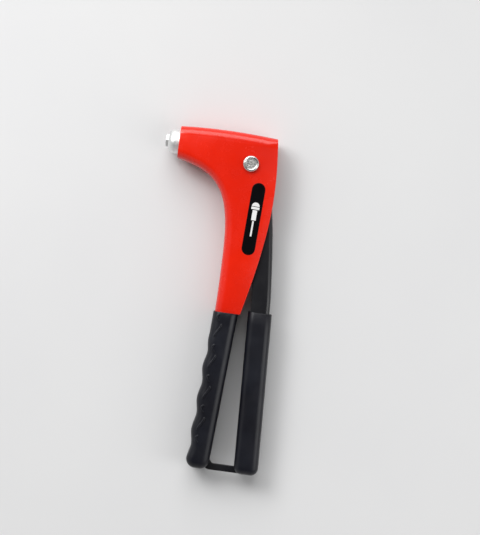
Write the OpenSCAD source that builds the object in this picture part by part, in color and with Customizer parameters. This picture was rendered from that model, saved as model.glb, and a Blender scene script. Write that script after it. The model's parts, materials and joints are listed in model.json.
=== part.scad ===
// Hand riveter lying on its side. The mandrel axis is the X axis and the nose points along -X.
// The handles run along -Y, Z crosses the cheeks, and the origin is on the nosepiece's tip face.

/* [Body] */
// Thickness of the body across the cheeks
body_t = 22.6; // [22.4:0.1:23.2]
// Thickness of the pressed steel sheet
sheet_t = 2; // [1.8:0.1:2]
// Outside radius of the pressed bend along the closed edge
bend_r = 6.5; // [5:0.5:7]
// Where the nose of the body is cut off square
nose_cut_x = 10.6; // [9.5:0.1:12]

/* [Barrel and nosepiece] */
// Outside diameter of the barrel
barrel_d = 18.5; // [18:0.1:18.5]
// Bore of the barrel that the jaw case slides in
barrel_bore_d = 14; // [14:0.1:14.4]
// Back end of the barrel
barrel_back_x = 54; // [53:0.2:54.6]
// How far the nosepiece stands out of the barrel
tip_h = 2.2; // [1.6:0.1:2.6]
// Width of the nosepiece's hexagon across its corners
hex_d = 10.4; // [9.6:0.1:11]
// Mandrel bore of the fitted nosepiece
mandrel_bore_d = 3.1; // [2.9:0.1:3.3]

/* [Draw train] */
// Outside diameter of the draw tube
tube_d = 10; // [9.6:0.1:10]
// Bore of the draw tube that spent mandrels leave through
exit_bore_d = 4.4; // [4:0.1:4.8]
// Front of the jaw case with the handles closed
case_x = 22; // [21.6:0.1:22.4]
// Diameter across the draw collar's two lugs
collar_d = 17.2; // [16.8:0.1:17.4]
// Height of the draw collar's lugs, square to the axis
lug_h = 8; // [7:0.2:8]
// Outside diameter of the draw collar's ring
collar_ring_d = 12.6; // [12:0.1:12.6]
// Axial thickness of the draw collar
collar_t = 4; // [3:0.2:4]
// Gap between neighbouring jaws
jaw_gap = 0.6; // [0.4:0.1:1]

/* [Pivot] */
// Place of the pivot along the mandrel axis
pivot_x = 65.8; // [65.6:0.1:66.2]
// Distance of the pivot below the mandrel axis, which is also the cams' base radius
pivot_drop = 9.84; // [9.7:0.02:10]
// Diameter of the pivot pin
pin_d = 7; // [6.6:0.1:7]
// Diameter of the pivot pin's head
head_d = 12; // [11:0.2:13]
// Height of the pivot pin's head
head_h = 2.6; // [2:0.1:3]

/* [Lever] */
// Outside width of the lever channel across its cheeks
lever_t = 18; // [17.6:0.1:18]
// Depth of the lever channel under its grip
lever_w = 14.3; // [13.6:0.1:14.4]
// Angle that the lever opens from the closed stop
open_angle = 50; // [40:1:50]
// Lean of the lever's grip away from the handle
lever_lean = 2.58; // [2.4:0.02:2.8]

/* [Grips] */
// Thickness of the handle grip across the cheeks
grip_t = 26.4; // [26:0.1:27]
// Rounding of the handle grip's edges
grip_r = 5.5; // [5:0.1:5.6]
// Half of the height of the finger waves
wave_h = 0.9; // [0:0.1:1]
// Distance from one finger wave to the next
wave_pitch = 23.5; // [22:0.5:25]
// Depth of the lever grip's section, front to back
lever_grip_w = 18.2; // [17.8:0.1:18.6]
// Thickness of the lever grip across the cheeks
lever_grip_t = 22; // [21.6:0.1:22.6]

/* [Label] */
// Length of the round-ended badge
label_l = 54.2; // [48:0.5:56]
// Width of the round-ended badge
label_w = 10; // [8:0.5:10.5]

/* [Lock] */
// Thickness of the lock's plate
latch_t = 2.5; // [2:0.1:3]
// Diameter of the lock's pivot pin and catch pin
lock_pin_d = 4; // [3.6:0.1:4]

/* [Hidden] */
$fn = 96;
fit = 0.05;
body_half = body_t / 2;
lever_half = lever_t / 2;
lever_in = lever_half - sheet_t;
pin_r = pin_d / 2;
bend_steps = 4;
through = 20;

// Barrel's rounded front and the wall that the nosepiece screws into
dome_flat_r = 5.1;
dome_depth = 5;
barrel_wall_x = 9;

// Nosepieces: hexagon, thread and tail
chamfer_depth = 2.2;
thread_r = 3.97;
thread_end = 6.8;
tail_r = 2.9;
tail_x = 16;

// Pivot pin's far end, from the body outwards: washer, clip in its groove, chamfered end
washer_r = 6;
washer_t = 0.8;
clip_r = 5.4;
clip_t = 0.8;
clip_gap = 4;
clip_face = body_half + washer_t + fit;
groove_depth = 0.7;
groove_end = 1.7;
pin_stub = 2.6;
head_rim = 1.3;
head_dish = 0.6;

// Closed edge under the nose and down the front of the handle, and the open edge behind
nose_half = 11.6;
under_curve = [[nose_cut_x, -12.1], [38, -18], [51, -27], [53.4, -66]];
top_curve = [[nose_cut_x, nose_half], [30, 13.5], [58, 13.6], [83.3, 11.5]];
back_curve = [[83.3, 11.5], [87.5, -24], [89.2, -52], [73, -121]];
grip_top_y = -122;
grip_end_y = -239.7;
tang_end_y = -236.8;
front_slope = 0.0414;
back_slope = 0.0571;
grip_front_x = 52.9;
grip_back_x = 71.4;
tang_wall = 2;
wave_top_y = -152;

// Cam and draw train
cam_rest = 1.016;
cam_end = 1.12;
collar_x = pivot_x + pivot_drop * cam_rest + fit;
case_l = 18;
case_r = barrel_bore_d / 2 - 0.06;
cone_r0 = 3.4;
cone_r1 = 5.8;
cone_x0 = case_x + 2;
cone_l = 12;
cone_angle = atan((cone_r1 - cone_r0) / cone_l);
jaw_x = case_x + 3;
jaw_l = 9.5;
pusher_x = jaw_x + jaw_l + 0.1;
spigot_x = case_x + 15.6;
plug_x = barrel_back_x - 6;
spring_pocket_x = 55;
tail_end_x = collar_x + collar_t + 0.5;

// Lever arm under its grip: a straight channel that leans away from the handle
arm_end = [92.85, -236.8];
arm_top_y = -108;
lever_grip_top_y = -119;
// The lever sleeve covers the arm's end and steps in to a smaller foot
foot_step = 1.2;
foot_end = 2.9;
foot_t = 2;

// Lock
latch_slot = 6;
latch_eye_r = 3.8;
spacer_r = 3;
spacer_end = body_half - sheet_t - 0.3;
latch_pivot = [59.5, -231.5];
catch_at = [88, -231.5];

function bezier(c, t) = pow(1 - t, 3) * c[0] + 3 * t * pow(1 - t, 2) * c[1]
    + 3 * t * t * (1 - t) * c[2] + pow(t, 3) * c[3];
function curve(c, first, last, n) = [for (i = [first:last]) bezier(c, i / n)];
function turned_point(p, a) = [p[0] * cos(a) - p[1] * sin(a), p[0] * sin(a) + p[1] * cos(a)];
function arc(r, a0, a1, n) = [for (i = [0:n]) let (a = a0 + (a1 - a0) * i / n) [r * cos(a), r * sin(a)]];
function from_pivot(p) = [pivot_x + p[0], p[1] - pivot_drop];

function grip_front(y) = grip_front_x + (y - grip_top_y) * front_slope
    + (y < wave_top_y + wave_pitch / 4 ? wave_h * cos(360 * (y - wave_top_y) / wave_pitch) : 0);
function grip_back(y) = grip_back_x + (y - grip_top_y) * back_slope;
function tang_front(y) = grip_front_x + tang_wall + 0.9 + (y - grip_top_y) * front_slope;
function tang_back(y) = grip_back(y) - tang_wall;
function arm_x(y) = arm_end[0] + (arm_end[1] - y) * tan(lever_lean);

// The body's front chain and its top and back chain, station by station from the nose
body_front = concat(curve(under_curve, 0, 12, 12), [[54, -84], [54.1, -102], [53.8, -121]],
    [for (y = [-124.5, tang_end_y]) [tang_front(y), y]]);
body_back = concat(curve(top_curve, 0, 5, 5), curve(back_curve, 1, 10, 10),
    [for (y = [-124.5, tang_end_y]) [tang_back(y), y]]);
body_top_stations = 5;

// Left-hand unit normal of an edge, and where a corner goes when its two edges move in
function inward(p, q) = let (d = q - p) [-d[1], d[0]] / norm(d);
function cross2(a, b) = a[0] * b[1] - a[1] * b[0];
function shifted(p, n1, n2, s1, s2) = abs(s1 - s2) < 0.0001
    ? p + (n1 + n2) * s1 / (1 + n1 * n2)
    : p + [s1 * n2[1] - s2 * n1[1], s2 * n1[0] - s1 * n2[0]] / cross2(n1, n2);

// A solid between two chains of points, with its edges rounded where the loop's edge is closed.
// wall moves the closed edges in, and cut moves the open ones out.
module pressed(front, back, half, r, closed, wall = 0, cut = 0) {
    n = len(front);
    loop = concat(front, [for (i = [n - 1:-1:0]) back[i]]);
    m = len(loop);
    sides = [for (i = [0:m - 1]) inward(loop[i], loop[(i + 1) % m])];
    layers = concat([for (k = [0:bend_steps]) [r * (1 - sin(90 * k / bend_steps)),
            -(half - r + r * cos(90 * k / bend_steps))]],
        [for (k = [bend_steps:-1:0]) [r * (1 - sin(90 * k / bend_steps)),
            half - r + r * cos(90 * k / bend_steps)]]);
    points = [for (layer = layers) for (i = [0:m - 1]) let (
            j = (i + m - 1) % m,
            s1 = closed[j] ? wall + layer[0] : -cut,
            s2 = closed[i] ? wall + layer[0] : -cut,
            at = shifted(loop[i], sides[j], sides[i], s1, s2))
        [at[0], at[1], layer[1]]];
    top = m * (len(layers) - 1);
    bands = [for (k = [0:len(layers) - 2]) for (i = [0:m - 1]) let (
            a = k * m + i, b = k * m + (i + 1) % m)
        each [[a, a + m, b + m], [a, b + m, b]]];
    bottom_cap = [for (i = [0:n - 2]) let (p = i, q = i + 1, s = m - 2 - i, t = m - 1 - i)
        each [[p, q, s], [p, s, t]]];
    top_cap = [for (f = bottom_cap) [f[2] + top, f[1] + top, f[0] + top]];
    polyhedron(points, concat(bands, bottom_cap, top_cap), convexity = 6);
}

// Which edges of the body's loop are pressed round: the front and the top
function body_closed() = let (n = len(body_front), m = 2 * n)
    [for (i = [0:m - 1]) i < n - 1 || (i >= m - 1 - body_top_stations && i < m - 1)];

module body_outside() pressed(body_front, body_back, body_half, bend_r, body_closed());

// A solid of revolution about the mandrel axis, from [radius, x] points
module turned(profile) rotate([0, 90, 0]) rotate_extrude() polygon(profile);
module along_x(r, x0, x1) translate([x0, 0, 0]) rotate([0, 90, 0]) cylinder(r = r, h = x1 - x0);
module across(at, r, z0, z1) translate([at[0], at[1], z0]) cylinder(r = r, h = z1 - z0);

// A round wire wound about the mandrel axis
module coil(mean_r, wire_r, x0, x1, turns, steps, sides) {
    rings = ceil(turns * steps);
    points = [for (k = [0:rings]) let (a = 360 * turns * k / rings,
            x = x0 + wire_r + (x1 - x0 - 2 * wire_r) * k / rings)
        for (s = [0:sides - 1]) let (b = 360 * s / sides, r = mean_r + wire_r * cos(b))
            [x + wire_r * sin(b), r * cos(a), r * sin(a)]];
    walls = [for (k = [0:rings - 1]) for (s = [0:sides - 1]) let (
            a = k * sides + s, b = k * sides + (s + 1) % sides)
        each [[a, b, b + sides], [a, b + sides, a + sides]]];
    caps = [[for (s = [sides - 1:-1:0]) s], [for (s = [0:sides - 1]) rings * sides + s]];
    polyhedron(points, concat(walls, caps), convexity = 10);
}

module body() color("firebrick") difference() {
    body_outside();
    pressed(body_front, body_back, body_half - sheet_t, bend_r - sheet_t, body_closed(), sheet_t, 4);
    across([pivot_x, -pivot_drop], pin_r + fit, -through, through);
    across(latch_pivot, lock_pin_d / 2, -through, through);
}

module barrel() color("silver") difference() {
    turned(concat([[0, tip_h]],
        [for (a = [0:10:90]) [dome_flat_r + (barrel_d / 2 - dome_flat_r) * sin(a),
            tip_h + dome_depth * (1 - cos(a))]],
        [[barrel_d / 2, barrel_back_x], [0, barrel_back_x]]));
    along_x(thread_r + 0.03, 0, through);
    along_x(barrel_bore_d / 2, barrel_wall_x, barrel_back_x + 1);
}

module barrel_plug() color("gray") difference() {
    along_x(barrel_bore_d / 2, plug_x, barrel_back_x);
    along_x(tube_d / 2 + fit, 40, 60);
    for (s = [-1, 1]) translate([barrel_back_x - 1.2, -8, s * 6.3 - 0.8]) cube([2, 16, 1.6]);
}

// Nosepiece with its hexagon, thread and tail; its tip face is at x = 0
module nosepiece_shape(bore_d) difference() {
    union() {
        difference() {
            rotate([0, 90, 0]) cylinder(d = hex_d, h = tip_h, $fn = 6);
            rotate([0, 90, 0]) difference() {
                translate([0, 0, -1]) cylinder(r = hex_d, h = 2);
                translate([0, 0, -1])
                    cylinder(r1 = hex_d / 2 - chamfer_depth, r2 = hex_d / 2 + 0.2, h = chamfer_depth + 0.2);
            }
        }
        along_x(thread_r, tip_h - 0.5, tip_h + thread_end);
        along_x(tail_r, tip_h + thread_end - 1, tail_x);
    }
    along_x(bore_d / 2, -1, through);
}

module nosepiece() color("lightgray") nosepiece_shape(mandrel_bore_d);

// A spare sits in the lever's far cheek, tail inwards
module spare(index, bore_d) color("lightgray")
    translate([spare_x(index), spare_y(index), -lever_half - tip_h]) rotate([0, -90, 0])
        nosepiece_shape(bore_d);
function spare_y(i) = -87 - 11.5 * i;
function spare_x(i) = 86.1 + 0.55 * i;

module spare_nosepiece_24() spare(0, 1.7);
module spare_nosepiece_32() spare(1, 2.1);
module spare_nosepiece_40() spare(2, 2.7);

module jaw_case() color("dimgray") difference() {
    turned([[0, case_x], [case_r - 1, case_x], [case_r, case_x + 1], [case_r, case_x + case_l],
        [0, case_x + case_l]]);
    along_x(cone_r0, 0, cone_x0 + 1);
    translate([cone_x0, 0, 0]) rotate([0, 90, 0]) cylinder(r1 = cone_r0, r2 = cone_r1, h = cone_l);
    along_x(cone_r1, cone_x0 + cone_l, case_x + case_l + 1);
}

// One jaw: a toothed sector of the cone, standing towards +Z before it is turned into place
module jaw(index) color("gainsboro") rotate([120 * index, 0, 0]) intersection() {
    turned(concat([[jaw_r(0), jaw_x], [jaw_r(jaw_l), jaw_x + jaw_l]],
        [for (i = [9:-1:0]) each [[1.1, jaw_x + 0.3 + i * 0.95], [1.6, jaw_x + 0.1 + i * 0.95]]]));
    translate([jaw_x - 1, 0, jaw_gap / 2 / sin(60)]) rotate([0, 90, 0]) linear_extrude(jaw_l + 2)
        polygon([[0, 0], [-5, 5 * tan(60)], [-9, 0], [-5, -5 * tan(60)]]);
}
function jaw_r(d) = cone_r0 + (jaw_x + d - cone_x0) * (cone_r1 - cone_r0) / cone_l - fit;

module jaw_1() jaw(0);
module jaw_2() jaw(1);
module jaw_3() jaw(2);

module jaw_pusher() color("darkgray") difference() {
    union() {
        along_x(5.2, pusher_x, pusher_x + 1.6);
        along_x(3.5, pusher_x + 1, pusher_x + 7.4);
    }
    along_x(2.1, pusher_x - 1, pusher_x + 8);
}

module pusher_spring() color("slategray") coil(2.85, 0.35, pusher_x + 7.4, spring_pocket_x, 8.5, 14, 6);

module draw_tube() color("darkgray") difference() {
    union() {
        along_x(cone_r1 - 0.02, spigot_x, case_x + case_l);
        along_x(tube_d / 2, case_x + case_l - 1, tail_end_x);
    }
    along_x(3.6, spigot_x - 1, spring_pocket_x);
    along_x(exit_bore_d / 2, spring_pocket_x - 1, tail_end_x + 1);
}

module draw_collar() color("gray") difference() {
    union() {
        along_x(collar_ring_d / 2, collar_x, collar_x + collar_t);
        intersection() {
            along_x(collar_d / 2, collar_x, collar_x + collar_t);
            translate([collar_x - 1, -lug_h / 2, -20]) cube([collar_t + 2, lug_h, 40]);
        }
    }
    along_x(tube_d / 2, collar_x - 1, collar_x + collar_t + 1);
}

module return_spring() color("slategray") coil(6, 0.55, case_x + case_l, plug_x, 5.25, 16, 8);

module pivot_pin() color("silver") translate([pivot_x, -pivot_drop, 0]) difference() {
    rotate_extrude() polygon(concat([[0, -body_half - pin_stub], [pin_r - 0.5, -body_half - pin_stub],
            [pin_r, -body_half - pin_stub + 0.5], [pin_r, -body_half - groove_end],
            [pin_r - groove_depth, -body_half - groove_end], [pin_r - groove_depth, -body_half - washer_t],
            [pin_r, -body_half - washer_t], [pin_r, body_half], [head_d / 2, body_half]],
        [for (a = [0:15:90]) [head_d / 2 - head_rim + head_rim * cos(a),
            body_half + head_h - head_rim + head_rim * sin(a)]],
        [[0, body_half + head_h]]));
    translate([0, 0, body_half + head_h - head_dish])
        cylinder(r1 = head_d / 2 - head_rim - 1, r2 = head_d / 2 - head_rim - 0.5, h = 1);
}

module pivot_washer() color("silver") difference() {
    across([pivot_x, -pivot_drop], washer_r, -body_half - washer_t, -body_half);
    across([pivot_x, -pivot_drop], pin_r + fit, -through, through);
}

module pivot_clip() color("dimgray") difference() {
    across([pivot_x, -pivot_drop], clip_r, -clip_face - clip_t, -clip_face);
    across([pivot_x, -pivot_drop], pin_r - groove_depth, -through, 0);
    translate([pivot_x - clip_gap / 2, -pivot_drop - 8, -through]) cube([clip_gap, 8, through]);
}

// The cam is an involute of a circle about the pivot, so it pushes the collar square to the axis
function cam(phi) = let (a = (phi - cam_rest) * 180 / PI)
    from_pivot(turned_point([pivot_drop * phi, pivot_drop], a));
cam_face = [for (i = [0:10]) cam(cam_end * i / 10)];
cam_back = [for (p = [[9.4, 12.3], [7.6, 13.4], [4.5, 13.6], [0.5, 12.6], [-4, 10.2]]) from_pivot(p)];
hub_left = [for (p = arc(9.5, 140, 245, 7)) from_pivot(p)];
arm_front = [[67.5, -30], [71, -45], [75.4, -72], [78, -93]];
arm_back = [[92.8, -93], [90.6, -72], [88.6, -56], [86.5, -44], [85, -33], [84.4, -24], [82.6, -17.5],
    [79, -14]];
hub_notch = [for (p = arc(5.6, -14, 31.8, 5)) from_pivot(p)];
lever_line = concat(cam_face, cam_back, hub_left, arm_front,
    [[arm_x(arm_top_y) - lever_w / 2, arm_top_y], arm_end - [lever_w / 2, 0], arm_end + [lever_w / 2, 0],
        [arm_x(arm_top_y) + lever_w / 2, arm_top_y]], arm_back, hub_notch);
web_line = concat([[110, 30], [40, 30], [40, arm_end[1] - 5],
        [arm_end[0] + lever_w / 2 - sheet_t, arm_end[1] - 5], arm_end + [lever_w / 2 - sheet_t, 0],
        [arm_x(arm_top_y) + lever_w / 2 - sheet_t, arm_top_y]],
    [for (i = [0:4]) arm_back[i] - [sheet_t, 0]], [[arm_back[5][0] - sheet_t, -24], [110, -24]]);

module lever() color("#222222") difference() {
    translate([0, 0, -lever_half]) linear_extrude(lever_t) polygon(lever_line);
    translate([0, 0, -lever_in]) linear_extrude(2 * lever_in) polygon(web_line);
    across([pivot_x, -pivot_drop], pin_r + fit, -through, through);
    across(catch_at, lock_pin_d / 2, -through, through);
    for (i = [0:2]) across([spare_x(i), spare_y(i)], thread_r + 0.03, -through, 0);
}

// Section of a sleeve: a rectangle with round corners
module sleeve_section(w, t, r) {
    square([w - 2 * r, t], center = true);
    square([w, t - 2 * r], center = true);
    for (x = [-1, 1], y = [-1, 1]) translate([x * (w / 2 - r), y * (t / 2 - r)]) circle(r);
}

// Frame at the lever arm's end, with Z up along the arm
module on_arm() translate([arm_end[0], arm_end[1], 0]) rotate([-90, 0, lever_lean]) children();

module lever_grip() color("#1a1a1a") difference() {
    union() {
        on_arm() translate([0, 0, -foot_step]) linear_extrude(lever_grip_top_y - arm_end[1] + foot_step)
            sleeve_section(lever_grip_w, lever_grip_t, 5);
        on_arm() translate([0, 0, -foot_end]) linear_extrude(foot_t)
            sleeve_section(lever_grip_w - 3, lever_grip_t - 3, 4);
    }
    translate([0, 0, -lever_half]) linear_extrude(lever_t) polygon(
        [arm_end + [lever_w / 2, 0], [arm_x(-110) + lever_w / 2, -110], [arm_x(-110) - lever_w / 2, -110],
            arm_end - [lever_w / 2, 0]]);
    translate([arm_end[0] - 20, arm_end[1] - 10, -latch_slot / 2]) cube([24, 15, latch_slot]);
}

module catch_pin() color("silver") across(catch_at, lock_pin_d / 2, -lever_half, lever_half);

grip_stations = 22;
grip_low_y = grip_end_y + 4;
grip_ys = [for (i = [0:grip_stations]) grip_top_y + (grip_low_y - grip_top_y) * i / grip_stations];
grip_chain_front = concat([for (y = grip_ys) [grip_front(y), y]],
    [[grip_front(grip_low_y) + 4, grip_end_y]]);
grip_chain_back = concat([for (y = grip_ys) [grip_back(y), y]], [[grip_back(grip_low_y) - 4, grip_end_y]]);

module handle_grip() color("#1a1a1a") difference() {
    pressed(grip_chain_front, grip_chain_back, grip_t / 2, grip_r,
        [for (i = [0:2 * len(grip_chain_front) - 1]) i < 2 * len(grip_chain_front) - 1]);
    body_outside();
    translate([54, grip_end_y - 2, -latch_slot / 2]) cube([20, 15, latch_slot]);
}

module label() color("black") translate([73.15, -50.2, body_half]) rotate([0, 0, -2.2]) {
    linear_extrude(0.2) {
        square([label_w, label_l - label_w], center = true);
        for (s = [-1, 1]) translate([0, s * (label_l - label_w) / 2]) circle(label_w / 2);
    }
}

module lock_latch() color("#202020") translate([latch_pivot[0], latch_pivot[1], -latch_t / 2])
    difference() {
        union() {
            cylinder(r = latch_eye_r, h = latch_t);
            linear_extrude(latch_t) polygon([[3, 2.2], [7.5, -4], [24.5, -4], [26, -5.5], [31, -5.5],
                [31.4, -2.5], [32.4, -2.4], [34.4, -5], [34.4, -8], [33.4, -9], [5.4, -9], [3.4, -8.3],
                [-2.4, -2.8]]);
        }
        translate([0, 0, -1]) cylinder(d = lock_pin_d + 2 * fit, h = latch_t + 2);
    }

module lock_pin() color("silver") across(latch_pivot, lock_pin_d / 2, -body_half, body_half);

module lock_spacers() color("gray") for (s = [-1, 1]) difference() {
    across(latch_pivot, spacer_r, s > 0 ? latch_t / 2 + 0.1 : -spacer_end,
        s > 0 ? spacer_end : -latch_t / 2 - 0.1);
    across(latch_pivot, lock_pin_d / 2, -through, through);
}

body();
barrel();
barrel_plug();
nosepiece();
jaw_case();
jaw_1();
jaw_2();
jaw_3();
jaw_pusher();
pusher_spring();
draw_tube();
draw_collar();
return_spring();
pivot_pin();
pivot_washer();
pivot_clip();
lever();
lever_grip();
catch_pin();
spare_nosepiece_24();
spare_nosepiece_32();
spare_nosepiece_40();
handle_grip();
label();
lock_latch();
lock_pin();
lock_spacers();
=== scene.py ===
import json
import math

import bmesh
import bpy
from mathutils import Matrix, Vector


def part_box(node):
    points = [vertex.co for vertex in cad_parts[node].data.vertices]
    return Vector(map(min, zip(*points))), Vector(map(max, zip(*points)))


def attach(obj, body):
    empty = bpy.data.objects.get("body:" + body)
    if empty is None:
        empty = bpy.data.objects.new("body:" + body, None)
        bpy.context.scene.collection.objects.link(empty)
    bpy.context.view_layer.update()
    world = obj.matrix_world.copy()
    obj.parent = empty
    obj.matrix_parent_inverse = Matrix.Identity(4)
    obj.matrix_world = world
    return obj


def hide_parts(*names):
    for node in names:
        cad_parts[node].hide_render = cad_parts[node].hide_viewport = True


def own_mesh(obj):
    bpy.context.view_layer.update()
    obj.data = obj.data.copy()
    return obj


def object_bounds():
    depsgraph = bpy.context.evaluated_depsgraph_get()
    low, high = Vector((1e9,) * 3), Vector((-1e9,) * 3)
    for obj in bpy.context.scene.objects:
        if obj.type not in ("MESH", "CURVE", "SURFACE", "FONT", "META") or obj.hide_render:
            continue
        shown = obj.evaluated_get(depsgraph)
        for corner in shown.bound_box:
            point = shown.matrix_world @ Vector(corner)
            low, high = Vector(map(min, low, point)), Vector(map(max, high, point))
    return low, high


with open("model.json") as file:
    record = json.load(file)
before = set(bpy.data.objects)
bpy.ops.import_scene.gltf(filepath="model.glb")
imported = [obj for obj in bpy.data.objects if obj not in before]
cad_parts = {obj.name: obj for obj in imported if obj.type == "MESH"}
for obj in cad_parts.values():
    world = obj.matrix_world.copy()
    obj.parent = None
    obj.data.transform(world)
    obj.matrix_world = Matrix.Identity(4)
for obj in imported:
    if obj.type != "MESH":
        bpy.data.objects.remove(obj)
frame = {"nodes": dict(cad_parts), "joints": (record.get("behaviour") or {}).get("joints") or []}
cad_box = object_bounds()
nodes = frame["nodes"]
joints = {joint["name"]: joint for joint in frame["joints"]}
MM = 0.001


def extent(node):
    """A node's lowest and highest corners, in millimetres."""
    return [[v / MM for v in corner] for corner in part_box(node)]


# Places and sizes from the frame, in millimetres
PIVOT = [v / MM for v in joints["lever_swing"]["pos_m"]]
LOCK_PIVOT = [v / MM for v in joints["lock_swing"]["pos_m"]]
(_, TANG_END_Y, _), (_, _, BODY_HALF) = extent("body")
(BARREL_FRONT, _, _), (BARREL_BACK, BARREL_R, _) = extent("barrel")
(_, HANDLE_END_Y, _), (_, HANDLE_TOP_Y, HANDLE_SLEEVE_HALF) = extent("handle_grip")
(_, LEVER_SLEEVE_END_Y, _), (_, _, LEVER_SLEEVE_HALF) = extent("lever_grip")
LEVER_HALF = extent("lever")[1][2]
LATCH_HALF = extent("lock_latch")[1][2]

# Sheet metal, and the slots in the sleeves' feet that the lock swings in
SHEET = 2.0
BEND_R = 6.5
SLOT_HALF = 3.0


# ---------------------------------------------------------------- curves

def bezier(points, t):
    """A point of the cubic curve that four points steer."""
    weights = ((1 - t) ** 3, 3 * t * (1 - t) ** 2, 3 * t * t * (1 - t), t ** 3)
    return tuple(sum(w * p[k] for w, p in zip(weights, points)) for k in (0, 1))


def curve(points, steps, first=0):
    """Points along such a curve, from one of its steps to its end."""
    return [bezier(points, i / steps) for i in range(first, steps + 1)]


def arc(centre, radius, start, stop, steps):
    """Points of a circle from one angle to another, in degrees."""
    angles = [math.radians(start + (stop - start) * i / steps) for i in range(steps + 1)]
    return [(centre[0] + radius * math.cos(a), centre[1] + radius * math.sin(a)) for a in angles]


def between(a, b, steps):
    """Points of a straight line."""
    return [(a[0] + (b[0] - a[0]) * i / steps, a[1] + (b[1] - a[1]) * i / steps) for i in range(steps + 1)]


# ---------------------------------------------------------------- mesh tools

def prism(points, low, high):
    """A closed solid of an outline between two heights, whose points keep their number in the outline."""
    bm = bmesh.new()
    place = bm.verts.layers.int.new("place")
    ring = [bm.verts.new((x * MM, y * MM, low * MM)) for x, y in points]
    for number, vert in enumerate(ring):
        vert[place] = number
    bm.faces.new(ring)
    grown = bmesh.ops.extrude_face_region(bm, geom=bm.faces[:])["geom"]
    lifted = [g for g in grown if isinstance(g, bmesh.types.BMVert)]
    bmesh.ops.translate(bm, verts=lifted, vec=(0, 0, (high - low) * MM))
    bmesh.ops.recalc_face_normals(bm, faces=bm.faces[:])
    return bm


def round_over(bm, edges, radius, segments):
    """Bevels chosen edges round."""
    bmesh.ops.bevel(bm, geom=edges, offset=radius * MM, segments=segments, profile=0.5,
                    affect="EDGES", clamp_overlap=False, material=-1)


def pressed(runs, half, radius, segments=8):
    """A sheet pressing, from runs of outline points that are bent round or left open, with open gaps."""
    points = [point for run, bent in runs for point in run]
    bends = [bent and step < len(run) - 1 for run, bent in runs for step in range(len(run))]
    bm = prism(points, -half, half)
    place = bm.verts.layers.int["place"]

    def bent_side(verts):
        first, second = sorted({v[place] for v in verts})
        return bends[second if (first, second) == (0, len(points) - 1) else first]

    for face in bm.faces:
        face.material_index = 0 if abs(face.normal.z) > 0.5 or bent_side(face.verts) else 1
    rim = [e for e in bm.edges if e.verts[0][place] != e.verts[1][place] and bent_side(e.verts)]
    round_over(bm, rim, radius, segments)
    open_sides = [f for f in bm.faces if f.material_index == 1]
    bmesh.ops.delete(bm, geom=open_sides, context="FACES")
    return bm


def lathe(profile, steps=96, axis="X", centre=(0, 0, 0)):
    """A solid turned from (along, radius) points."""
    bm = bmesh.new()
    side = {"X": Vector((0, 1, 0)), "Z": Vector((1, 0, 0))}[axis]
    spin = {"X": Vector((1, 0, 0)), "Z": Vector((0, 0, 1))}[axis]
    middle = Vector(centre) * MM
    verts = [bm.verts.new(middle + (spin * a + side * r) * MM) for a, r in profile]
    edges = [bm.edges.new(pair) for pair in zip(verts, verts[1:] + verts[:1])]
    bmesh.ops.spin(bm, geom=verts + edges, cent=middle, axis=spin, angle=math.tau, steps=steps,
                   use_merge=True)
    bmesh.ops.remove_doubles(bm, verts=bm.verts[:], dist=MM / 1000)
    bmesh.ops.recalc_face_normals(bm, faces=bm.faces[:])
    return bm


def joined(*meshes):
    """One bmesh that holds several."""
    whole = meshes[0]
    for part in meshes[1:]:
        spare = bpy.data.meshes.new("spare")
        part.to_mesh(spare)
        whole.from_mesh(spare)
        bpy.data.meshes.remove(spare)
        part.free()
    return whole


SHARP = 35


def piece(bm, name, body, material, replaces=(), sharp=SHARP):
    """A finished object that rides on a body, takes a slot's finish and stands for CAD nodes."""
    mesh = bpy.data.meshes.new(name)
    for face in bm.faces:
        face.material_index = 0
    bm.to_mesh(mesh)
    bm.free()
    mesh.shade_smooth()
    mesh.set_sharp_from_angle(angle=math.radians(sharp))
    mesh.materials.append(material)
    obj = bpy.data.objects.new(name, mesh)
    bpy.context.scene.collection.objects.link(obj)
    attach(obj, body)
    if replaces:
        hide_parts(*replaces)
    return obj


def thicken(obj, thickness):
    """Gives a shell its wall, inwards."""
    wall = obj.modifiers.new("wall", "SOLIDIFY")
    wall.thickness = thickness * MM
    wall.offset = -1
    wall.use_even_offset = True


def soften(obj, width, segments=2, angle=40):
    """Breaks an object's sharp edges."""
    edge = obj.modifiers.new("soft edge", "BEVEL")
    edge.width = width * MM
    edge.segments = segments
    edge.limit_method = "ANGLE"
    edge.angle_limit = math.radians(angle)
    edge.use_clamp_overlap = True
    edge.harden_normals = False


def settle(obj):
    """Applies an object's modifiers."""
    bpy.context.view_layer.update()
    graph = bpy.context.evaluated_depsgraph_get()
    mesh = bpy.data.meshes.new_from_object(obj.evaluated_get(graph))
    obj.modifiers.clear()
    obj.data = mesh
    mesh.shade_smooth()
    mesh.set_sharp_from_angle(angle=math.radians(SHARP))


def cut_slot(obj, low, high):
    """Cuts a box-shaped slot, from its lowest and highest corners in millimetres."""
    bm = bmesh.new()
    bmesh.ops.create_cube(bm, size=1)
    size = [(b - a) * MM for a, b in zip(low, high)]
    middle = [(a + b) / 2 * MM for a, b in zip(low, high)]
    bmesh.ops.scale(bm, verts=bm.verts[:], vec=size)
    bmesh.ops.translate(bm, verts=bm.verts[:], vec=middle)
    mesh = bpy.data.meshes.new("cutter")
    bm.to_mesh(mesh)
    bm.free()
    cutter = bpy.data.objects.new("cutter", mesh)
    bpy.context.scene.collection.objects.link(cutter)
    cut = obj.modifiers.new("slot", "BOOLEAN")
    cut.operation = "DIFFERENCE"
    cut.solver = "EXACT"
    cut.object = cutter
    settle(obj)
    bpy.data.objects.remove(cutter)
    bpy.data.meshes.remove(mesh)


# ---------------------------------------------------------------- materials

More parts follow.
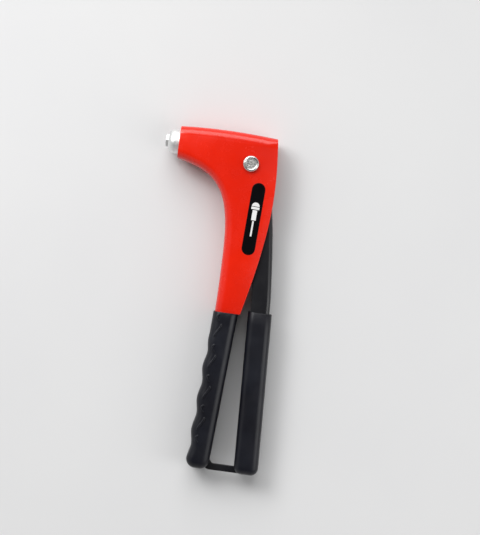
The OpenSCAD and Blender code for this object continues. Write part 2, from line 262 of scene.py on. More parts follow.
def put(tree, kind, inputs=None, **settings):
    """Adds a node, sets it up and fills or links its inputs."""
    made = tree.nodes.new(kind)
    for name, value in settings.items():
        setattr(made, name, value)
    for name, value in (inputs or {}).items():
        if isinstance(value, bpy.types.NodeSocket):
            tree.links.new(value, made.inputs[name])
        else:
            made.inputs[name].default_value = value
    return made


def group(name, inputs, outputs):
    """A shader node group with named sockets: the tree, what it is given and what it puts out."""
    tree = bpy.data.node_groups.new(name, "ShaderNodeTree")
    for label, kind, value in inputs:
        socket = tree.interface.new_socket(label, in_out="INPUT", socket_type=kind)
        socket.default_value = value
    for label, kind in outputs:
        tree.interface.new_socket(label, in_out="OUTPUT", socket_type=kind)
    return tree, tree.nodes.new("NodeGroupInput").outputs, tree.nodes.new("NodeGroupOutput").inputs


NUMBER, VECTOR = "NodeSocketFloat", "NodeSocketVector"


def make_grain():
    """Fine relief: the skin of paint, the grain of moulded plastic, the tooth of blasted steel."""
    tree, given, out = group("surface grain", [("Scale", NUMBER, 900.0), ("Roughness", NUMBER, 0.5),
        ("Stretch", VECTOR, (1, 1, 1)), ("Depth", NUMBER, 0.0001), ("Strength", NUMBER, 0.2)],
        [("Normal", VECTOR)])
    place = put(tree, "ShaderNodeTexCoord")
    scaled = put(tree, "ShaderNodeVectorMath", {0: place.outputs["Object"], 1: given["Stretch"]},
                 operation="MULTIPLY")
    noise = put(tree, "ShaderNodeTexNoise", {"Vector": scaled.outputs[0], "Scale": given["Scale"],
                "Detail": 3.0, "Roughness": given["Roughness"]})
    bump = put(tree, "ShaderNodeBump", {"Strength": given["Strength"], "Distance": given["Depth"],
               "Height": noise.outputs["Fac"]})
    tree.links.new(bump.outputs["Normal"], out["Normal"])
    return tree


def make_patches():
    """A slow change from place to place, between a low and a high value."""
    tree, given, out = group("slow patches", [("Scale", NUMBER, 60.0), ("Low", NUMBER, 0.3),
        ("High", NUMBER, 0.5), ("Detail", NUMBER, 4.0)], [("Value", NUMBER)])
    place = put(tree, "ShaderNodeTexCoord")
    noise = put(tree, "ShaderNodeTexNoise", {"Vector": place.outputs["Object"], "Scale": given["Scale"],
                "Detail": given["Detail"], "Roughness": 0.6})
    spread = put(tree, "ShaderNodeMapRange", {"Value": noise.outputs["Fac"], "From Min": 0.3,
                 "From Max": 0.7, "To Min": given["Low"], "To Max": given["High"]})
    tree.links.new(spread.outputs["Result"], out["Value"])
    return tree


def make_edge_wear():
    """A mask that is 1 on rubbed edges, broken up so that no edge is worn evenly."""
    tree, given, out = group("edge wear", [("Reach", NUMBER, 0.0006), ("Amount", NUMBER, 1.0),
        ("Break Up", NUMBER, 400.0)], [("Mask", NUMBER)])
    place = put(tree, "ShaderNodeTexCoord")
    rounded = put(tree, "ShaderNodeBevel", {"Radius": given["Reach"]}, samples=4)
    shape = put(tree, "ShaderNodeNewGeometry")
    turned = put(tree, "ShaderNodeVectorMath", {0: rounded.outputs["Normal"], 1: shape.outputs["Normal"]},
                 operation="DOT_PRODUCT")
    bend = put(tree, "ShaderNodeMath", {0: 1.0, 1: turned.outputs["Value"]}, operation="SUBTRACT")
    noise = put(tree, "ShaderNodeTexNoise", {"Vector": place.outputs["Object"],
                "Scale": given["Break Up"], "Detail": 5.0, "Roughness": 0.7})
    chipped = put(tree, "ShaderNodeMath", {0: bend.outputs[0], 1: noise.outputs["Fac"]},
                  operation="MULTIPLY")
    mask = put(tree, "ShaderNodeMapRange", {"Value": chipped.outputs[0], "From Min": 0.04,
               "From Max": 0.11, "To Min": 0.0, "To Max": given["Amount"]})
    tree.links.new(mask.outputs["Result"], out["Mask"])
    return tree


def make_scratches():
    """Fine hairlines in two directions, as a mask."""
    tree, given, out = group("hairlines", [("Scale", NUMBER, 60.0), ("Amount", NUMBER, 0.5)],
                             [("Mask", NUMBER)])
    place = put(tree, "ShaderNodeTexCoord")
    masks = []
    for turn, stretch in ((0.5, (1, 30, 6)), (-0.9, (24, 1, 5))):
        laid = put(tree, "ShaderNodeMapping", {"Vector": place.outputs["Object"],
                   "Rotation": (0.1, 0.2, turn), "Scale": stretch})
        noise = put(tree, "ShaderNodeTexNoise", {"Vector": laid.outputs["Vector"],
                    "Scale": given["Scale"], "Detail": 4.0, "Roughness": 0.6})
        line = put(tree, "ShaderNodeMapRange", {"Value": noise.outputs["Fac"], "From Min": 0.66,
                   "From Max": 0.74, "To Min": 0.0, "To Max": given["Amount"]})
        masks.append(line.outputs["Result"])
    both = put(tree, "ShaderNodeMath", {0: masks[0], 1: masks[1]}, operation="MAXIMUM")
    tree.links.new(both.outputs[0], out["Mask"])
    return tree


GRAIN, PATCHES, EDGE_WEAR, SCRATCHES = make_grain(), make_patches(), make_edge_wear(), make_scratches()


def place_group(tree, source, **inputs):
    """Places a shared effect in a material with its own values."""
    return put(tree, "ShaderNodeGroup", {k.replace("_", " "): v for k, v in inputs.items()},
               node_tree=source)


def mixed(tree, mask, a, b):
    """Colour a where the mask is 0 and b where it is 1."""
    mix = put(tree, "ShaderNodeMix", data_type="RGBA")
    for socket, value in ((mix.inputs[0], mask), (mix.inputs[6], a), (mix.inputs[7], b)):
        if isinstance(value, bpy.types.NodeSocket):
            tree.links.new(value, socket)
        else:
            socket.default_value = value
    return mix.outputs[2]


def summed(tree, a, b):
    """The sum of two values, held between 0 and 1."""
    return put(tree, "ShaderNodeMath", {0: a, 1: b}, operation="ADD", use_clamp=True).outputs[0]


def new_material(name, **constants):
    """A material with constants set on its shader: the material, its tree and the shader."""
    material = bpy.data.materials.new(name)
    material.use_nodes = True
    tree = material.node_tree
    shader = tree.nodes["Principled BSDF"]
    for label, value in constants.items():
        shader.inputs[label.replace("_", " ")].default_value = value
    return material, tree, shader


def paint(name, colour, deep, chip, peel=0.12, rough=(0.24, 0.36), coat=0.3):
    """Sprayed paint: orange peel, slow change of gloss and colour, hairlines and chipped edges."""
    material, tree, shader = new_material(name, Coat_Roughness=0.12, Coat_Weight=coat,
                                          Specular_IOR_Level=0.4)
    wear = place_group(tree, EDGE_WEAR, Reach=0.0005, Amount=chip[3]).outputs["Mask"]
    shade = place_group(tree, PATCHES, Scale=22.0, Low=0.0, High=1.0).outputs["Value"]
    lines = place_group(tree, SCRATCHES, Scale=40.0, Amount=0.5).outputs["Mask"]
    gloss = place_group(tree, PATCHES, Scale=70.0, Low=rough[0], High=rough[1]).outputs["Value"]
    skin = place_group(tree, GRAIN, Scale=520.0, Depth=0.00012, Strength=peel)
    base = mixed(tree, shade, colour, deep)
    tree.links.new(mixed(tree, wear, base, chip[:3] + (1.0,)), shader.inputs["Base Color"])
    duller = put(tree, "ShaderNodeMath", {0: lines, 1: 0.07, 2: gloss}, operation="MULTIPLY_ADD")
    tree.links.new(duller.outputs[0], shader.inputs["Roughness"])
    tree.links.new(wear, shader.inputs["Metallic"])
    tree.links.new(skin.outputs["Normal"], shader.inputs["Normal"])
    return material


def plated(name, colour, stain, rough=(0.22, 0.42), grain=700.0, depth=0.00006, strength=0.25,
           stretch=(1, 1, 1), patch=160.0):
    """Plated or bare steel: mottled tone, patches of dullness, tool marks and hairlines."""
    material, tree, shader = new_material(name, Metallic=1.0)
    tone = place_group(tree, PATCHES, Scale=patch, Low=0.0, High=1.0, Detail=6.0).outputs["Value"]
    gloss = place_group(tree, PATCHES, Scale=patch * 1.7, Low=rough[0], High=rough[1]).outputs["Value"]
    lines = place_group(tree, SCRATCHES, Scale=90.0, Amount=0.7).outputs["Mask"]
    marks = place_group(tree, GRAIN, Scale=grain, Depth=depth, Strength=strength, Stretch=stretch)
    wear = place_group(tree, EDGE_WEAR, Reach=0.0004, Amount=0.6).outputs["Mask"]
    bright = tuple(min(1.0, c * 1.25) for c in colour[:3]) + (1.0,)
    tree.links.new(mixed(tree, wear, mixed(tree, tone, colour, stain), bright), shader.inputs["Base Color"])
    duller = put(tree, "ShaderNodeMath", {0: lines, 1: 0.2, 2: gloss}, operation="MULTIPLY_ADD")
    tree.links.new(duller.outputs[0], shader.inputs["Roughness"])
    tree.links.new(marks.outputs["Normal"], shader.inputs["Normal"])
    return material


def moulded(name, colour, bloom, rough=(0.36, 0.52), grain=1500.0, strength=0.22):
    """Soft moulded plastic: fine grain, a pale bloom where it has been handled, and scuffed edges."""
    material, tree, shader = new_material(name, Specular_IOR_Level=0.36)
    tone = place_group(tree, PATCHES, Scale=38.0, Low=0.0, High=1.0, Detail=6.0).outputs["Value"]
    gloss = place_group(tree, PATCHES, Scale=90.0, Low=rough[0], High=rough[1]).outputs["Value"]
    lines = place_group(tree, SCRATCHES, Scale=55.0, Amount=0.35).outputs["Mask"]
    skin = place_group(tree, GRAIN, Scale=grain, Depth=0.0001, Strength=strength)
    wear = place_group(tree, EDGE_WEAR, Reach=0.0007, Amount=0.35, Break_Up=250.0).outputs["Mask"]
    rubbed = tuple(min(1.0, c * 2.6) for c in bloom[:3]) + (1.0,)
    base = mixed(tree, summed(tree, tone, lines), colour, bloom)
    tree.links.new(mixed(tree, wear, base, rubbed), shader.inputs["Base Color"])
    tree.links.new(gloss, shader.inputs["Roughness"])
    tree.links.new(skin.outputs["Normal"], shader.inputs["Normal"])
    return material


RED = paint("orange red paint", (0.78, 0.016, 0.0015, 1), (0.66, 0.011, 0.001, 1), (0.5, 0.44, 0.4, 0.25),
            rough=(0.22, 0.3), coat=0.25)
BLACK = paint("black lever paint", (0.005, 0.005, 0.007, 1), (0.009, 0.009, 0.011, 1),
              (0.07, 0.07, 0.068, 0.2), peel=0.2, rough=(0.26, 0.38), coat=0.2)
ZINC = plated("zinc plating", (0.93, 0.93, 0.92, 1), (0.72, 0.73, 0.73, 1), rough=(0.38, 0.6), patch=240.0)
PIN = plated("turned pin", (0.78, 0.78, 0.77, 1), (0.6, 0.59, 0.56, 1), rough=(0.16, 0.34))
PEENED = plated("peened pin end", (0.5, 0.49, 0.46, 1), (0.14, 0.14, 0.15, 1), rough=(0.3, 0.6),
                grain=800.0, depth=0.0006, strength=1.0, patch=520.0)
NOSE = plated("machined nosepiece", (0.86, 0.86, 0.85, 1), (0.68, 0.68, 0.68, 1), rough=(0.36, 0.5))
TURNED = plated("turned steel", (0.55, 0.55, 0.56, 1), (0.4, 0.4, 0.41, 1), rough=(0.22, 0.36),
                grain=260.0, stretch=(12, 1, 1))
DARK = plated("blackened steel", (0.16, 0.16, 0.165, 1), (0.08, 0.08, 0.085, 1), rough=(0.3, 0.5))
JAW = plated("hardened jaw steel", (0.44, 0.44, 0.46, 1), (0.3, 0.3, 0.33, 1), rough=(0.25, 0.4))
WIRE = plated("spring wire", (0.4, 0.41, 0.43, 1), (0.28, 0.29, 0.31, 1), rough=(0.2, 0.35))
PVC = moulded("black pvc", (0.0035, 0.0035, 0.0065, 1), (0.008, 0.009, 0.014, 1), rough=(0.3, 0.42))
FILM = moulded("badge film", (0.002, 0.002, 0.002, 1), (0.003, 0.003, 0.004, 1), rough=(0.1, 0.16),
               strength=0.03)
PRINT = moulded("badge print", (0.78, 0.78, 0.77, 1), (0.7, 0.7, 0.7, 1), rough=(0.25, 0.35),
                strength=0.05)

# CAD nodes that keep their own mesh
NODE_FINISH = {
    "barrel_plug": DARK, "jaw_case": DARK, "draw_collar": DARK, "lock_spacers": DARK,
    "draw_tube": TURNED, "jaw_pusher": TURNED, "jaw_1": JAW, "jaw_2": JAW, "jaw_3": JAW,
    "return_spring": WIRE, "lock_pin": PIN, "catch_pin": PIN,
}
for name, finish in NODE_FINISH.items():
    nodes[name].data.materials.clear()
    nodes[name].data.materials.append(finish)


# ---------------------------------------------------------------- body

# Curves of the body's outline: under the nose, along the top, and down the open back
UNDER = [(10.6, -12.1), (38, -18), (51, -27), (53.4, -66)]
TOP = [(10.6, 11.6), (30, 13.5), (58, 13.6), (83.3, 11.5)]
BACK = [(83.3, 11.5), (87.5, -24), (89.2, -52), (73, -121)]
SHOULDER_Y = HANDLE_TOP_Y + 0.05


def make_body():
    """The pressed shell with its round bends, and the narrower tang inside the handle's sleeve."""
    front = curve(UNDER, 26) + [(53.8, -76), (54, -88), (54.1, -102), (53.95, -114), (53.8, SHOULDER_Y)]
    top = curve(TOP, 12)
    back = curve(BACK, 26, first=1)[:-1] + [(72.8, SHOULDER_Y)]
    shell = pressed([(front, True), (back[::-1], False), (top[::-1], True)], BODY_HALF, BEND_R, 10)
    tang_front = between((55.8, SHOULDER_Y + 2), (51.3, TANG_END_Y + 1.5), 4)
    tang_foot = arc((58.8, TANG_END_Y + 4.5), 4.2, 270, 350, 6)
    tang_back = tang_foot + between((63.1, TANG_END_Y + 7), (69.3, SHOULDER_Y + 2), 4)
    tang = pressed([(tang_front, True), (tang_back, False)], BODY_HALF - 0.1, BEND_R - 0.2, 6)
    obj = piece(joined(shell, tang), "body_shell", "frame", RED, ["body"])
    thicken(obj, SHEET)
    soften(obj, 0.35, 3)
    settle(obj)


# ---------------------------------------------------------------- barrel and nosepiece

DOME_DEPTH, DOME_FLAT_R = 5.0, 5.1


def make_barrel():
    """Domed tube with a chamfered mouth for the nosepiece."""
    turns = [math.radians(a) for a in range(0, 91, 6)]
    rise = BARREL_R - DOME_FLAT_R
    dome = [(BARREL_FRONT + DOME_DEPTH * (1 - math.cos(a)), DOME_FLAT_R + rise * math.sin(a))
            for a in turns]
    profile = [(BARREL_FRONT + 6.6, 4.0), (BARREL_FRONT + 0.4, 4.0), (BARREL_FRONT, 4.4)] + dome
    profile += [(BARREL_BACK - 0.5, BARREL_R), (BARREL_BACK, BARREL_R - 0.5), (BARREL_BACK, 7.0),
                (BARREL_FRONT + 6.8, 7.0)]
    piece(lathe(profile), "barrel_tube", "frame", ZINC, ["barrel"])


def hex_radius(angle, across_corners):
    """How far a hexagon's side is from its middle, at an angle from a corner."""
    return across_corners / 2 * math.cos(math.pi / 6) / math.cos((angle % (math.pi / 3)) - math.pi / 6)


def nosepiece_mesh(bore_r, tip_h, across_corners=10.4, thread_end=9.0, tail_end=16.0):
    """Chamfered hexagon, thread and tail about the X axis, tip face at X = 0 and tail towards +X."""
    threads = []
    pitch, root_r, crest_r, tail_r = 1.0, 3.55, 3.97, 2.9
    for i in range(6):
        start = tip_h + 0.8 + i * pitch
        threads += [(start, root_r), (start + pitch / 2, crest_r)]
    profile = [(0, bore_r + 0.35), (0, 3.9), (0.5, 5.3), (tip_h, 5.2), (tip_h, 3.6)] + threads
    profile += [(thread_end - 0.2, root_r), (thread_end, tail_r), (tail_end - 0.8, tail_r), (tail_end, 2.2),
                (tail_end, bore_r), (0.35, bore_r)]
    bm = lathe(profile, steps=72)
    for vert in bm.verts:
        x, r = vert.co.x / MM, math.hypot(vert.co.y, vert.co.z) / MM
        if x < tip_h + 0.01 and r > 5:
            angle = math.atan2(vert.co.z, vert.co.y)
            wanted = hex_radius(angle + math.pi / 6, across_corners)
            vert.co.y *= wanted / r
            vert.co.z *= wanted / r
            if x < tip_h - 0.01:
                vert.co.x = (0.15 + max(0.0, (wanted - 4.3)) * 0.55) * MM
    return bm


def make_nosepieces():
    """The fitted nosepiece, and the spares that stand in the lever's cheek for smaller rivets."""
    tip_h = BARREL_FRONT
    piece(nosepiece_mesh(1.55, tip_h), "nosepiece_fitted", "frame", NOSE, ["nosepiece"], 25)
    for size, bore_r in (("24", 0.85), ("32", 1.05), ("40", 1.35)):
        node = "spare_nosepiece_" + size
        low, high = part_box(node)
        bm = nosepiece_mesh(bore_r, tip_h)
        centre = Vector(((low[0] + high[0]) / 2, (low[1] + high[1]) / 2, low[2]))
        bmesh.ops.transform(bm, matrix=Matrix.Translation(centre) @ Matrix.Rotation(-math.pi / 2, 4, "Y"),
                            verts=bm.verts[:])
        piece(bm, "spare_nosepiece_" + size + "_turned", "lever_arm", NOSE, [node], 25)


def make_pusher_spring():
    """A helix of round wire, wound at an even pitch from end to end."""
    (front, _, _), (back, outer_r, _) = extent("pusher_spring")
    wire_r, turns, steps = 0.35, 8.5, 204
    pitch = (back - front - 2 * wire_r) / steps
    bm = bmesh.new()
    ring = bmesh.ops.create_circle(bm, segments=10, radius=wire_r * MM)["verts"]
    bmesh.ops.translate(bm, verts=ring, vec=((front + wire_r) * MM, (outer_r - wire_r) * MM, 0))
    bmesh.ops.spin(bm, geom=bm.verts[:] + bm.edges[:], cent=(0, 0, 0), axis=(1, 0, 0),
                   dvec=(pitch * MM, 0, 0), angle=math.tau * turns, steps=steps)
    bmesh.ops.holes_fill(bm, edges=[e for e in bm.edges if e.is_boundary], sides=0)
    bmesh.ops.recalc_face_normals(bm, faces=bm.faces[:])
    obj = piece(bm, "pusher_spring_coil", "draw_train", WIRE, ["pusher_spring"])
    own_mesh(obj)


# ---------------------------------------------------------------- pivot

def make_pivot():
    """Pin head with a bright rolled rim and a dull peened face, and the shank through the body."""
    (_, _, low), (_, _, high) = extent("pivot_pin")
    head_r, rim, shank = 6.0, 1.25, 3.5
    cheek = BODY_HALF
    rolled = [(high - rim + rim * math.sin(math.radians(a)), head_r - rim + rim * math.cos(math.radians(a)))
              for a in range(0, 181, 15)]
    inner = [(z, r) for z, r in rolled if z > high - rim - 0.01]
    groove_r = shank - 0.7
    profile = [(low, 0), (low, shank - 0.5), (low + 0.5, shank), (low + 0.9, shank), (low + 0.9, groove_r),
               (low + 1.8, groove_r), (low + 1.8, shank), (cheek, shank), (cheek, head_r - 0.4),
               (cheek + 0.4, head_r)] + inner
    profile += [(high - 0.75, 3.75), (high - 0.78, 2.6), (high - 0.74, 0)]
    centre = (PIVOT[0], PIVOT[1], 0)
    bm = lathe(profile, axis="Z", centre=centre)
    obj = piece(bm, "pivot_pin_turned", "frame", PIN, ["pivot_pin"], 40)
    obj.data.materials.append(PEENED)
    for face in obj.data.polygons:
        reach = (Vector(face.center[:2]) / MM - Vector(PIVOT[:2])).length
        if face.center.z / MM > high - 0.85 and reach < 3.7:
            face.material_index = 1
    section = [(0.8, 3.6), (0.8, 5.7), (0.5, 6.0), (0, 6.0), (0, 3.6)]
    washer = lathe([(-cheek - depth, r) for depth, r in section], axis="Z", centre=centre)
    piece(washer, "pivot_washer_turned", "frame", ZINC, ["pivot_washer"])


def make_clip():
    """E-clip: an open ring with three inner teeth."""
    outer = arc((0, 0), 5.4, -60, 240, 40)
    inner = [(r * math.cos(math.radians(a)), r * math.sin(math.radians(a))) for a in range(236, -57, -4)
             for r in (2.85 if min(abs(a - c) for c in (220, 90, -40)) < 16 else 4.0,)]
    outline = [(PIVOT[0] + x, PIVOT[1] + y) for x, y in outer + inner]
    bm = prism(outline, -BODY_HALF - 1.65, -BODY_HALF - 0.87)
    obj = piece(bm, "pivot_clip_sprung", "frame", DARK, ["pivot_clip"])
    soften(obj, 0.12)


# ---------------------------------------------------------------- lever

ARM_END = (92.85, -236.8)
ARM_HALF = 7.15
LEAN = math.tan(math.radians(2.58))
CAM_REST = 1.016
CAM_END = 1.12
LEVER_SLEEVE_TOP_Y = -119.0


def arm_x(y):
    """The middle of the lever's straight arm, which leans away from the handle."""
    return ARM_END[0] + (ARM_END[1] - y) * LEAN


def off_pivot(points):
    """Points given from the pivot, moved to their place."""
    return [(PIVOT[0] + x, PIVOT[1] + y) for x, y in points]


def cam_point(roll):
    """A point of the cam's involute face, about a circle that touches the mandrel axis."""
    base = -PIVOT[1]
    turn = roll - CAM_REST
    x, y = base * roll, base
    return (x * math.cos(turn) - y * math.sin(turn), x * math.sin(turn) + y * math.cos(turn))


def make_lever():
    """Folded channel: two cheeks with a hub and a cam each, joined by a web along the back."""
    cam = off_pivot([cam_point(CAM_END * i / 12) for i in range(13)])
    crown = off_pivot([(9.4, 12.3), (8.7, 13.0), (7.6, 13.4), (6.0, 13.6), (4.5, 13.6), (2.4, 13.2),
                       (0.5, 12.6), (-1.8, 11.6), (-4, 10.2), (-5.7, 8.6)])
    hub = off_pivot(arc((0, 0), 9.5, 140, 245, 14))
    front = [(67.5, -30), (71, -45), (75.4, -72), (78, -93), (arm_x(-108) - ARM_HALF, -108),
             (ARM_END[0] - ARM_HALF, ARM_END[1])]
    web = [(ARM_END[0] + ARM_HALF, ARM_END[1]),
           (arm_x(-200) + ARM_HALF, -200), (arm_x(-150) + ARM_HALF, -150),
           (arm_x(-108) + ARM_HALF, -108), (92.8, -93), (90.6, -72), (88.6, -56), (86.5, -44), (85, -33),
           (84.4, -24)]
    shoulder = [(83.6, -20), (82.6, -17.5), (81, -15.4), (79, -14)]
    notch = off_pivot(arc((0, 0), 5.6, -14, 31.8, 8))
    runs = [(cam + crown + hub + front, False), (web, True), (shoulder + notch, False)]
    bm = pressed(runs, LEVER_HALF, 3.2, 8)
    obj = piece(bm, "lever_channel", "lever_arm", BLACK, ["lever"])
    thicken(obj, SHEET)
    soften(obj, 0.3, 3)
    settle(obj)


# ---------------------------------------------------------------- sleeves

def finger_wave(y):
    """How far the sleeve's front swells between the fingers, fading out towards its top."""
    swell = min(1.0, max(0.0, (-y - 138) / 14))
    return 0.9 * swell * math.cos(math.tau * (y + 152) / 23.5)


def handle_front(y):
    """The handle sleeve's waved front edge."""
    return 52.9 + (y - HANDLE_TOP_Y) * 0.0414 + finger_wave(y)


def handle_back(y):
    """The handle sleeve's straight back edge."""
    return 71.4 + (y - HANDLE_TOP_Y) * 0.0571


def sleeve(front, back, foot, half, radius):
    """An open-topped sleeve with all its long edges and its closed foot rounded."""
    return pressed([(front + foot + back[::-1], True)], half, radius)


def stroke(points, width):
    """The outline of a round-ended line of a width, drawn through points."""
    before, after = [points[0]] + points[:-1], points[1:] + [points[-1]]
    turns = [math.atan2(b[1] - a[1], b[0] - a[0]) for a, b in zip(before, after)]
    half = width / 2
    left = [(x - half * math.sin(t), y + half * math.cos(t)) for (x, y), t in zip(points, turns)]
    right = [(x + half * math.sin(t), y - half * math.cos(t)) for (x, y), t in zip(points, turns)]
    last, first = math.degrees(turns[-1]), math.degrees(turns[0])
    front = arc(points[-1], half, last + 90, last - 90, 8)[1:-1]
    rear = arc(points[0], half, first - 90, first - 270, 8)[1:-1]
    return left + front + right[::-1] + rear


def raised_mark(points, width, side, rise):
    """A moulded ridge along a line of points, standing on a side of the handle's sleeve."""
    foot = side * (HANDLE_SLEEVE_HALF - 0.4)
    top = side * (HANDLE_SLEEVE_HALF + rise)
    bm = prism(stroke(points, width), min(foot, top), max(foot, top))
    crest = [e for e in bm.edges if all(abs(v.co.z - top * MM) < MM / 100 for v in e.verts)]
    round_over(bm, crest, min(rise, width * 0.3), 3)
    return bm


def make_handle_sleeve():
    """Finger-grooved sleeve with a slot in its foot for the lock."""
    steps = 56
    corner = 7.0
    low_y = HANDLE_END_Y + corner
    ys = [HANDLE_TOP_Y + (low_y - HANDLE_TOP_Y) * i / steps for i in range(steps + 1)]
    front = [(handle_front(y), y) for y in ys]
    back = [(handle_back(y), y) for y in ys]
    foot = arc((handle_front(low_y) + corner, low_y), corner, 180, 270, 8)[1:]
    foot += arc((handle_back(low_y) - corner, low_y), corner, 270, 360, 8)[:-1]
    bm = sleeve(front, back, foot, HANDLE_SLEEVE_HALF, 5.5)
    obj = piece(bm, "handle_sleeve", "frame", PVC, ["handle_grip"])
    thicken(obj, 1.75)
    settle(obj)
    cut_slot(obj, (54, HANDLE_END_Y - 2, -SLOT_HALF), (74, HANDLE_END_Y + 13, SLOT_HALF))
    soften(obj, 0.25, 2, 50)
    settle(obj)


def make_handle_marks():
    """Moulded crescents with slanting dashes between them, on both sides of the handle's sleeve."""
    crescent_y, crescent_pitch = -126.0, 22.8
    dash_y, dash_pitch = -135.4, 23.4
    marks = []
    for side in (-1, 1):
        for finger in range(5):
            y = crescent_y - crescent_pitch * finger
            x = handle_front(y) + 5.4
            marks.append(raised_mark(arc((x + 0.6, y), 2.6, 118, 250, 12), 1.5, side, 0.6))
        for finger in range(4):
            y = dash_y - dash_pitch * finger
            x = handle_front(y) + 5.6
            slant = [(x + 2.2, y + 4.2), (x + 1.4, y + 1), (x - 0.6, y - 0.6), (x - 1.9, y - 4.2)]
            marks.append(raised_mark(curve(slant, 8), 1.8, side, 0.65))
    piece(joined(*marks), "handle_sleeve_marks", "frame", PVC)


def make_lever_sleeve():
    """Plain round-cornered sleeve on the lever."""
    top, low = LEVER_SLEEVE_TOP_Y, LEVER_SLEEVE_END_Y
    corner = 5.6
    low_y = low + corner
    ys = [top + (low_y - top) * i / 12 for i in range(13)]
    front = [(arm_x(y) - 8.95 - 0.15 * (top - y) / 120, y) for y in ys]
    back = [(arm_x(y) + 8.95 + 0.15 * (top - y) / 120, y) for y in ys]
    foot = arc((front[-1][0] + corner, low_y), corner, 180, 270, 8)[1:]
    foot += arc((back[-1][0] - corner, low_y), corner, 270, 360, 8)[:-1]
    bm = sleeve(front, back, foot, LEVER_SLEEVE_HALF, 5.0)
    obj = piece(bm, "lever_sleeve", "lever_arm", PVC, ["lever_grip"])
    thicken(obj, 1.8)
    settle(obj)
    foot_x, foot_y = ARM_END
    cut_slot(obj, (foot_x - 20, foot_y - 10, -SLOT_HALF), (foot_x + 4, foot_y + 5, SLOT_HALF))
    soften(obj, 0.25, 2, 50)
    settle(obj)


# ---------------------------------------------------------------- badge

def stadium(length, width, steps=16):
    """A long outline with round ends."""
    radius = width / 2
    reach = length / 2 - radius
    return arc((0, reach), radius, 0, 180, steps) + arc((0, -reach), radius, 180, 360, steps)


def on_badge(points, turn=-2.2, centre=(73.15, -50.2)):
    """Points given from the badge's middle and along its length, moved to their place."""
    c, s = math.cos(math.radians(turn)), math.sin(math.radians(turn))
    return [(centre[0] + x * c - y * s, centre[1] + x * s + y * c) for x, y in points]


def make_badge():
    """Black film with a plain printed rivet sign in place of any name."""
    bm = prism(on_badge(stadium(54.2, 10)), BODY_HALF - 0.05, BODY_HALF + 0.17)
    obj = piece(bm, "badge_film", "frame", FILM, ["label"])
    soften(obj, 0.06)
    level = (BODY_HALF + 0.12, BODY_HALF + 0.2)
    shapes = [
        [(-3.0, 9.0), (3.0, 9.0), (3.0, 7.2), (-3.0, 7.2)],
        [(-1.7, 6.6), (1.7, 6.6), (1.7, -1.0), (-1.7, -1.0)],
        [(-0.6, -1.6), (0.6, -1.6), (0.6, -13.0), (-0.6, -13.0)],
    ]
    prints = [prism(on_badge(shape), *level) for shape in shapes]
    prints += [prism(on_badge(arc((0, 9.5), 2.9, 0, 180, 18)), *level)]
    piece(joined(*prints), "badge_print", "frame", PRINT)


# ---------------------------------------------------------------- lock

def make_latch():
    """Flat hook with an eye at its pivot end."""
    x0, y0 = LOCK_PIVOT[:2]
    eye = arc((0, 0), 3.8, 38, 228, 20)
    hook = [(3.4, -8.3), (4.4, -8.8), (5.4, -9), (33.0, -9), (34.0, -8.6), (34.4, -7.6), (34.4, -5),
            (33.4, -3.2), (32.4, -2.4), (31.6, -2.5), (31.2, -3.4), (31, -5.2), (30.6, -5.5), (26.2, -5.5),
            (25.4, -5.0), (24.5, -4), (8.6, -4), (7.3, -3.7)]
    outline = [(x0 + x, y0 + y) for x, y in eye + hook]
    bm = prism(outline, -LATCH_HALF, LATCH_HALF)
    obj = piece(bm, "lock_hook", "lock", BLACK, ["lock_latch"])
    soften(obj, 0.3, 3)


# ---------------------------------------------------------------- studio

def area_light(name, place, size, power, target=(0.06, -0.1, 0)):
    """A soft panel that faces the tool."""
    light = bpy.data.lights.new(name, "AREA")
    light.shape = "RECTANGLE"
    light.size, light.size_y = size
    light.energy = power
    obj = bpy.data.objects.new(name, light)
    obj.location = place
    obj.rotation_euler = (Vector(target) - Vector(place)).to_track_quat("-Z", "Y").to_euler()
    bpy.context.scene.collection.objects.link(obj)


def broad_light(name, way, spread, power):
    """A distant soft light that lights the whole floor evenly, from a direction."""
    light = bpy.data.lights.new(name, "SUN")
    light.angle = math.radians(spread)
    light.energy = power
    obj = bpy.data.objects.new(name, light)
    obj.rotation_euler = Vector(way).to_track_quat("Z", "Y").to_euler()
    bpy.context.scene.collection.objects.link(obj)


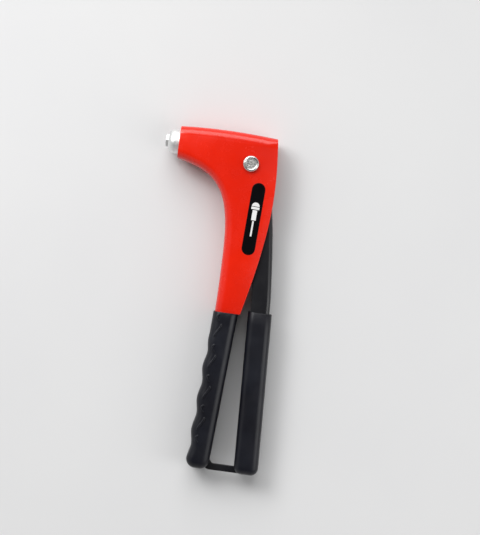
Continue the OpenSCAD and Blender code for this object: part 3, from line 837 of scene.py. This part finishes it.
def make_surround():
    """Pale walls all round, under a dim ceiling that flat glossy faces mirror."""
    world = bpy.data.worlds.new("studio")
    world.use_nodes = True
    tree = world.node_tree
    ray = put(tree, "ShaderNodeTexCoord")
    height = put(tree, "ShaderNodeSeparateXYZ", {0: ray.outputs["Generated"]})
    glow = put(tree, "ShaderNodeMapRange", {"Value": height.outputs["Z"], "From Min": 0.5, "From Max": 0.93,
               "To Min": 0.5, "To Max": 0.05}, interpolation_type="SMOOTHSTEP")
    background = tree.nodes["Background"]
    background.inputs["Color"].default_value = (1, 1, 1, 1)
    tree.links.new(glow.outputs["Result"], background.inputs["Strength"])
    bpy.context.scene.world = world


def make_studio():
    """Pale floor under the tool, and its lights."""
    floor_z = cad_box[0][2] - 0.0002
    bm = bmesh.new()
    bmesh.ops.create_grid(bm, x_segments=2, y_segments=2, size=30)
    bmesh.ops.translate(bm, verts=bm.verts[:], vec=(0, 0, floor_z))
    mesh = bpy.data.meshes.new("floor")
    bm.to_mesh(mesh)
    bm.free()
    material, tree, shader = new_material("pale floor", Specular_IOR_Level=0.2)
    tone = place_group(tree, PATCHES, Scale=3.0, Low=0.0, High=1.0).outputs["Value"]
    pale = mixed(tree, tone, (0.68, 0.68, 0.68, 1), (0.65, 0.65, 0.655, 1))
    tree.links.new(pale, shader.inputs["Base Color"])
    shader.inputs["Roughness"].default_value = 0.6
    mesh.materials.append(material)
    floor = bpy.data.objects.new("floor", mesh)
    bpy.context.scene.collection.objects.link(floor)
    area_light("key", (-0.55, 0.4, 0.8), (0.5, 0.5), 6.4)
    area_light("fill", (0.8, -0.2, 0.7), (0.4, 1.0), 2.8)
    broad_light("broad", (-0.2, 0.8, 0.75), 50, 1.9)
    make_surround()
    bpy.context.scene.view_settings.view_transform = "Standard"


def make_camera():
    """Straight above, with the tool leaning a little as it hangs."""
    data = bpy.data.cameras.new("camera")
    data.lens = 90
    data.sensor_width = 36
    camera = bpy.data.objects.new("camera", data)
    camera.location = (0.0681, -0.0872, 1.0045)
    camera.rotation_euler = (0, 0, math.radians(7.8))
    bpy.context.scene.collection.objects.link(camera)
    bpy.context.scene.camera = camera


# ---------------------------------------------------------------- the tool and its studio

make_body()
make_barrel()
make_nosepieces()
make_pusher_spring()
make_pivot()
make_clip()
make_lever()
make_handle_sleeve()
make_handle_marks()
make_lever_sleeve()
make_badge()
make_latch()
make_studio()
make_camera()
